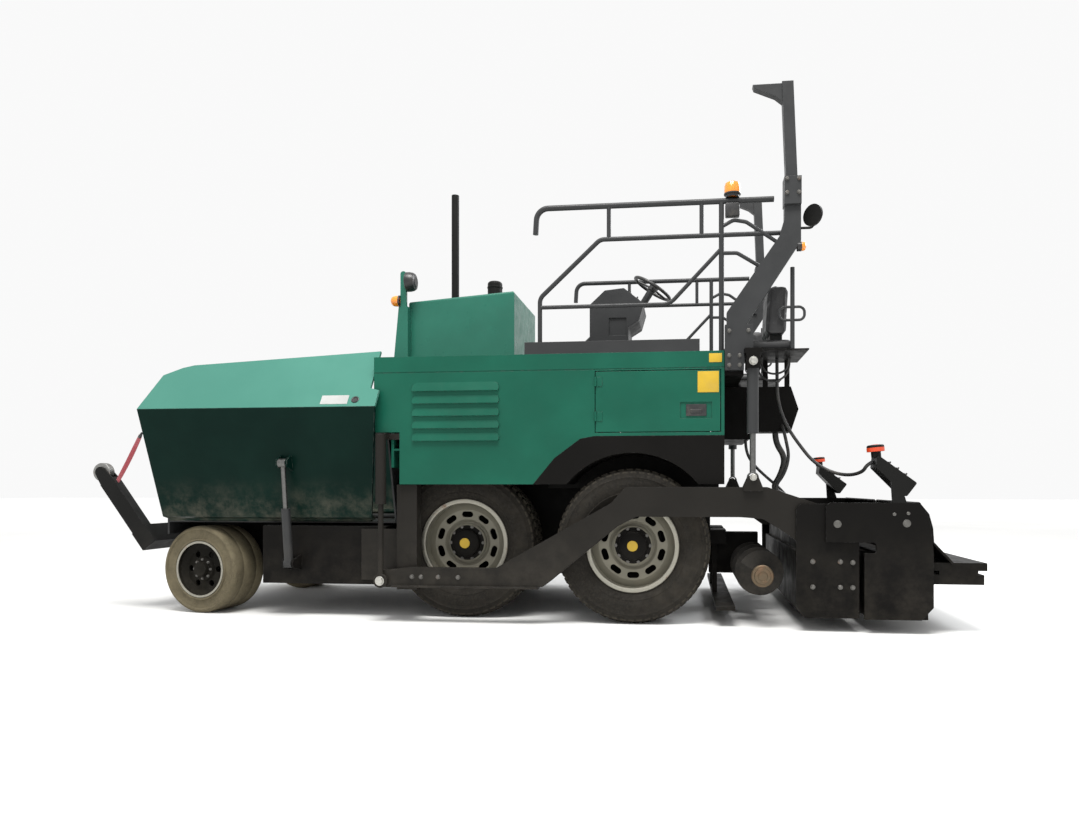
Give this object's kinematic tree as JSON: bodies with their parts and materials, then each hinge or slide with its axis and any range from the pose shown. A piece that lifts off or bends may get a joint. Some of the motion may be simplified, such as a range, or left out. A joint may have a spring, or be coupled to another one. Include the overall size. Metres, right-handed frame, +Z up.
{
  "type": "wheeled asphalt paver",
  "caption": "Wheeled asphalt paver with folded hopper wings, a raised push beam, an open deck with rails and masts, long tow arms, an auger and an extending screed.",
  "frame": {"origin": "on the ground, below the middle of the machine's bounding box", "axes": "+X to the rear, +Y to the machine's right side, +Z up"},
  "size_m": [7.0399, 2.5, 3.9499],
  "materials": {
    "green_paint": "satin machine enamel",
    "dark_grey_paint": "satin dark grey enamel",
    "black_paint": "satin black enamel",
    "worn_steel": "worn bare steel",
    "cast_dark": "painted casting",
    "roller_steel": "worn",
    "amber_plastic": "gloss",
    "seat_vinyl": "matt",
    "hose_rubber": "matt",
    "red_webbing": "woven",
    "steering_plastic": "matt",
    "drive_tyre": "dusty",
    "solid_tyre": "dusty",
    "wheel_grey": "satin grey",
    "chrome_rod": "polished"
  },
  "bodies": {
    "root": {"chassis": "dark_grey_paint", "fenders": "dark_grey_paint", "operator_deck": "dark_grey_paint", "handrails": "dark_grey_paint", "console": "dark_grey_paint", "canopy_posts": "dark_grey_paint", "rear_frame": "dark_grey_paint", "tow_points": "dark_grey_paint", "hopper_floor": "dark_grey_paint", "auger_frame": "dark_grey_paint", "body_shell": "green_paint", "hood": "green_paint", "conveyor": "worn_steel", "front_axle": "cast_dark", "drive_axles": "cast_dark", "engine": "cast_dark", "exhaust_stack": "black_paint", "air_cleaner": "black_paint", "mirrors": "black_paint", "lamps": "amber_plastic", "seats": "seat_vinyl", "hoses": "hose_rubber"},
    "wing_left": {"wing_left": "green_paint"},
    "wing_barrel_left": {"wing_barrel_left": "dark_grey_paint"},
    "wing_rod_left": {"wing_rod_left": "chrome_rod"},
    "wing_right": {"wing_right": "green_paint"},
    "wing_barrel_right": {"wing_barrel_right": "dark_grey_paint"},
    "wing_rod_right": {"wing_rod_right": "chrome_rod"},
    "push_beam": {"push_beam": "black_paint", "beam_strap": "red_webbing"},
    "push_rollers": {"push_rollers": "roller_steel"},
    "knuckle_left": {"knuckle_left": "cast_dark"},
    "steer_wheel_left": {"steer_tyre_left": "solid_tyre", "steer_wheel_left": "wheel_grey"},
    "knuckle_right": {"knuckle_right": "cast_dark"},
    "steer_wheel_right": {"steer_tyre_right": "solid_tyre", "steer_wheel_right": "wheel_grey"},
    "steering_wheel": {"steering_wheel": "steering_plastic"},
    "front_drive_wheel_left": {"front_drive_tyre_left": "drive_tyre", "front_drive_wheel_left": "wheel_grey"},
    "front_drive_wheel_right": {"front_drive_tyre_right": "drive_tyre", "front_drive_wheel_right": "wheel_grey"},
    "rear_drive_wheel_left": {"rear_drive_tyre_left": "drive_tyre", "rear_drive_wheel_left": "wheel_grey"},
    "rear_drive_wheel_right": {"rear_drive_tyre_right": "drive_tyre", "rear_drive_wheel_right": "wheel_grey"},
    "side_door_left": {"side_door_left": "green_paint"},
    "side_door_right": {"side_door_right": "green_paint"},
    "screed": {"tow_arms": "dark_grey_paint", "screed": "dark_grey_paint"},
    "lift_barrel_left": {"lift_barrel_left": "dark_grey_paint"},
    "lift_rod_left": {"lift_rod_left": "chrome_rod"},
    "screed_extension_left": {"screed_extension_left": "dark_grey_paint", "control_box_left": "black_paint"},
    "lift_barrel_right": {"lift_barrel_right": "dark_grey_paint"},
    "lift_rod_right": {"lift_rod_right": "chrome_rod"},
    "screed_extension_right": {"screed_extension_right": "dark_grey_paint", "control_box_right": "black_paint"},
    "auger": {"auger": "worn_steel"}
  },
  "joints": [
    {"name": "wing_left_fold", "type": "hinge", "parent": "root", "child": "wing_left", "pos_m": [-1.9, -0.905, 0.775], "axis": [1, 0, 0], "range_deg": [0, 38]},
    {"name": "wing_barrel_left_tilt", "type": "hinge", "parent": "root", "child": "wing_barrel_left", "pos_m": [-1.66, -1.09, 0.43], "axis": [1, 0, 0], "range_deg": [-1, 26]},
    {"name": "wing_rod_left_slide", "type": "slide", "parent": "wing_barrel_left", "child": "wing_rod_left", "axis": [0, -0.1139, 0.9935], "range_m": [-0.2, 0.005]},
    {"name": "wing_right_fold", "type": "hinge", "parent": "root", "child": "wing_right", "pos_m": [-1.9, 0.905, 0.775], "axis": [-1, 0, 0], "range_deg": [0, 38]},
    {"name": "wing_barrel_right_tilt", "type": "hinge", "parent": "root", "child": "wing_barrel_right", "pos_m": [-1.66, 1.09, 0.43], "axis": [-1, 0, 0], "range_deg": [-1, 26]},
    {"name": "wing_rod_right_slide", "type": "slide", "parent": "wing_barrel_right", "child": "wing_rod_right", "axis": [0, 0.1139, 0.9935], "range_m": [-0.2, 0.005]},
    {"name": "push_beam_fold", "type": "hinge", "parent": "root", "child": "push_beam", "pos_m": [-2.85, 0, 0.34], "axis": [0, -1, 0], "range_deg": [0, 54], "deforming": ["beam_strap"]},
    {"name": "push_rollers_spin", "type": "hinge", "parent": "push_beam", "child": "push_rollers", "pos_m": [-3.4419, 0, 1.15468], "axis": [0, 1, 0], "continuous": true},
    {"name": "steer_left", "type": "hinge", "parent": "root", "child": "knuckle_left", "pos_m": [-2.47, -0.66, 0.356], "axis": [0, 0, 1], "range_deg": [-15, 33]},
    {"name": "steer_wheel_left_spin", "type": "hinge", "parent": "knuckle_left", "child": "steer_wheel_left", "pos_m": [-2.48799, -0.77358, 0.356], "axis": [0.1564, 0.9877, 0], "continuous": true},
    {"name": "steer_right", "type": "hinge", "parent": "root", "child": "knuckle_right", "pos_m": [-2.47, 0.66, 0.356], "axis": [0, 0, 1], "range_deg": [-15, 33]},
    {"name": "steer_wheel_right_spin", "type": "hinge", "parent": "knuckle_right", "child": "steer_wheel_right", "pos_m": [-2.45201, 0.77358, 0.356], "axis": [0.1564, 0.9877, 0], "continuous": true},
    {"name": "steering_wheel_turn", "type": "hinge", "parent": "root", "child": "steering_wheel", "pos_m": [1.16, -0.3, 2.71], "axis": [0.5299, 0, 0.848], "range_deg": [-200, 420]},
    {"name": "front_drive_wheel_left_spin", "type": "hinge", "parent": "root", "child": "front_drive_wheel_left", "pos_m": [-0.3, -0.747, 0.585], "axis": [0, 1, 0], "continuous": true},
    {"name": "front_drive_wheel_right_spin", "type": "hinge", "parent": "root", "child": "front_drive_wheel_right", "pos_m": [-0.3, 0.747, 0.585], "axis": [0, 1, 0], "continuous": true},
    {"name": "rear_drive_wheel_left_spin", "type": "hinge", "parent": "root", "child": "rear_drive_wheel_left", "pos_m": [1.04, -0.897, 0.585], "axis": [0, 1, 0], "continuous": true},
    {"name": "rear_drive_wheel_right_spin", "type": "hinge", "parent": "root", "child": "rear_drive_wheel_right", "pos_m": [1.04, 0.897, 0.585], "axis": [0, 1, 0], "continuous": true},
    {"name": "side_door_left_swing", "type": "hinge", "parent": "root", "child": "side_door_left", "pos_m": [0.77, -1.13, 1.665], "axis": [0, 0, -1], "range_deg": [0, 85]},
    {"name": "side_door_right_swing", "type": "hinge", "parent": "root", "child": "side_door_right", "pos_m": [0.77, 1.13, 1.665], "axis": [0, 0, 1], "range_deg": [0, 85]},
    {"name": "screed_lift", "type": "hinge", "parent": "root", "child": "screed", "pos_m": [-0.86, 0, 0.32], "axis": [0, -1, 0], "range_deg": [-1.4, 5], "deforming": ["hoses"]},
    {"name": "lift_barrel_left_tilt", "type": "hinge", "parent": "root", "child": "lift_barrel_left", "pos_m": [1.92, -1.158, 1.935], "axis": [0, 1, 0], "range_deg": [-2.5, 7]},
    {"name": "lift_rod_left_slide", "type": "slide", "parent": "lift_barrel_left", "child": "lift_rod_left", "axis": [0, 0, 1], "range_m": [-0.085, 0.245]},
    {"name": "screed_extension_left_slide", "type": "slide", "parent": "screed", "child": "screed_extension_left", "axis": [0, -1, 0], "range_m": [0, 1]},
    {"name": "lift_barrel_right_tilt", "type": "hinge", "parent": "root", "child": "lift_barrel_right", "pos_m": [1.92, 1.158, 1.935], "axis": [0, 1, 0], "range_deg": [-2.5, 7]},
    {"name": "lift_rod_right_slide", "type": "slide", "parent": "lift_barrel_right", "child": "lift_rod_right", "axis": [0, 0, 1], "range_m": [-0.085, 0.245]},
    {"name": "screed_extension_right_slide", "type": "slide", "parent": "screed", "child": "screed_extension_right", "axis": [0, 1, 0], "range_m": [0, 1]},
    {"name": "auger_spin", "type": "hinge", "parent": "root", "child": "auger", "pos_m": [1.99, 0, 0.385], "axis": [0, 1, 0], "continuous": true}
  ],
  "couplings": [
    {"joint": "wing_barrel_left_tilt", "follows": "wing_left_fold", "ratio": 0.61947},
    {"joint": "wing_rod_left_slide", "follows": "wing_left_fold", "m_per_rad": -0.28108},
    {"joint": "wing_barrel_right_tilt", "follows": "wing_right_fold", "ratio": 0.61947},
    {"joint": "wing_rod_right_slide", "follows": "wing_right_fold", "m_per_rad": -0.28108},
    {"joint": "steer_right", "follows": "steer_left", "ratio": 1},
    {"joint": "steering_wheel_turn", "follows": "steer_left", "ratio": 12},
    {"joint": "lift_barrel_left_tilt", "follows": "screed_lift", "ratio": 1.2},
    {"joint": "lift_rod_left_slide", "follows": "screed_lift", "m_per_rad": 2.704},
    {"joint": "lift_barrel_right_tilt", "follows": "screed_lift", "ratio": 1.2},
    {"joint": "lift_rod_right_slide", "follows": "screed_lift", "m_per_rad": 2.704}
  ]
}
